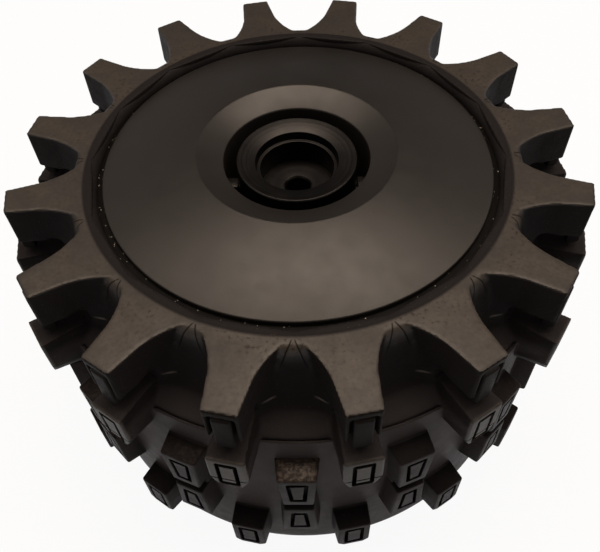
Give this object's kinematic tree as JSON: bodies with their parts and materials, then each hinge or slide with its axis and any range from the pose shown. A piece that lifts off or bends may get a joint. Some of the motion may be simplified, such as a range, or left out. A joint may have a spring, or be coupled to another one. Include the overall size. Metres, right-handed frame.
{
  "type": "robotic mower drive wheel",
  "caption": "Drive wheel of a robotic mower: fat rubber tyre with radial paddles and grooved tread blocks, split rim, conical face cover, turned hub with bolt recess and keyed bore.",
  "frame": {"origin": "on the wheel axis, on the plane that the tyre's inner side rests on", "axes": "+Z along the wheel axis towards the outer face, -Y towards the front of the picture"},
  "size_m": [0.2184, 0.2184, 0.1417],
  "materials": {
    "tyre_rubber": "satin moulded rubber",
    "rim_plastic": "matte moulded",
    "cover_plastic": "satin fine grain",
    "hub_metal": "turned, black anodised",
    "plated_steel": "zinc plated"
  },
  "bodies": {
    "root": {"tyre": "tyre_rubber", "rim_outer_half": "rim_plastic", "rim_inner_half": "rim_plastic", "face_cover": "cover_plastic", "hub": "hub_metal", "rim_screws": "plated_steel", "rim_washers": "plated_steel", "rim_nuts": "plated_steel", "hub_screws": "plated_steel", "hub_washers": "plated_steel", "hub_nuts": "plated_steel", "cover_screws": "plated_steel"}
  },
  "joints": []
}
